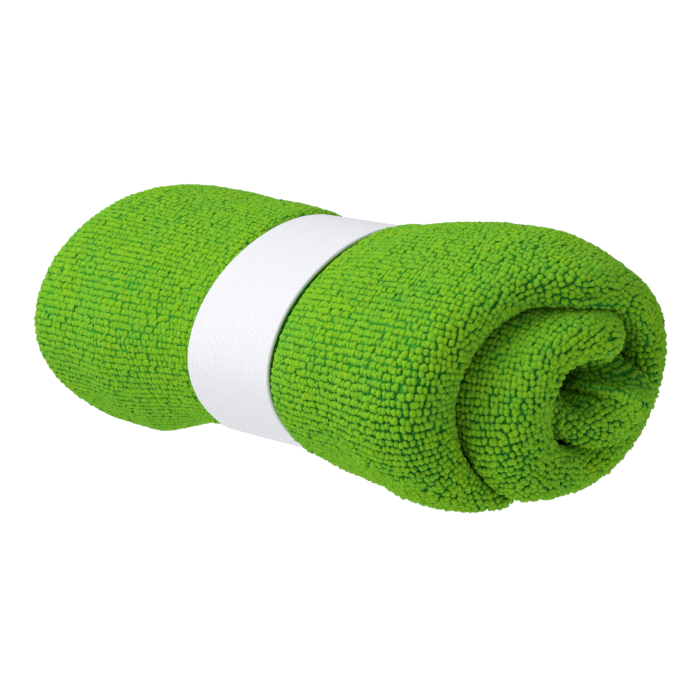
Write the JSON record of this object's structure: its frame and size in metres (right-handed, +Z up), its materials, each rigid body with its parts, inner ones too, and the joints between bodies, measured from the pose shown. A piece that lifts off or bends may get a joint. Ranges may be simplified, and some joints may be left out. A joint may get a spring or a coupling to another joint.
{
  "type": "rolled quick-dry towel in an elastic band",
  "caption": "Loop-pile towel folded in four, rolled up and held by a wide knitted elastic band that slides off either end.",
  "frame": {"origin": "on the surface the roll lies on, under the middle of its box", "axes": "+X along the roll towards the end that shows the folded cloth, +Y to the back, +Z up"},
  "size_m": [0.1846, 0.0914, 0.0726],
  "materials": {
    "terry_cloth": "soft loop pile, bright green",
    "hem_thread": "overlocked polyester thread",
    "elastic_knit": "white ribbed knit",
    "rubber_strands": "plain latex",
    "sewing_thread": "spun thread"
  },
  "bodies": {
    "towel": {"towel_cloth": "terry_cloth", "tail_hem_thread": "hem_thread", "core_hem_thread": "hem_thread", "short_hem_thread_a": "hem_thread", "short_hem_thread_b": "hem_thread"},
    "band": {"band_outer_knit": "elastic_knit", "band_rubber_strands": "rubber_strands", "band_inner_knit": "elastic_knit", "band_lap_stitches": "sewing_thread"}
  },
  "joints": [
    {"name": "band_slide", "type": "slide", "parent": "towel", "child": "band", "axis": [1, 0, 0], "range_m": [-0.112, 0.118], "deforming": ["band_outer_knit", "band_rubber_strands", "band_inner_knit", "band_lap_stitches"]}
  ]
}
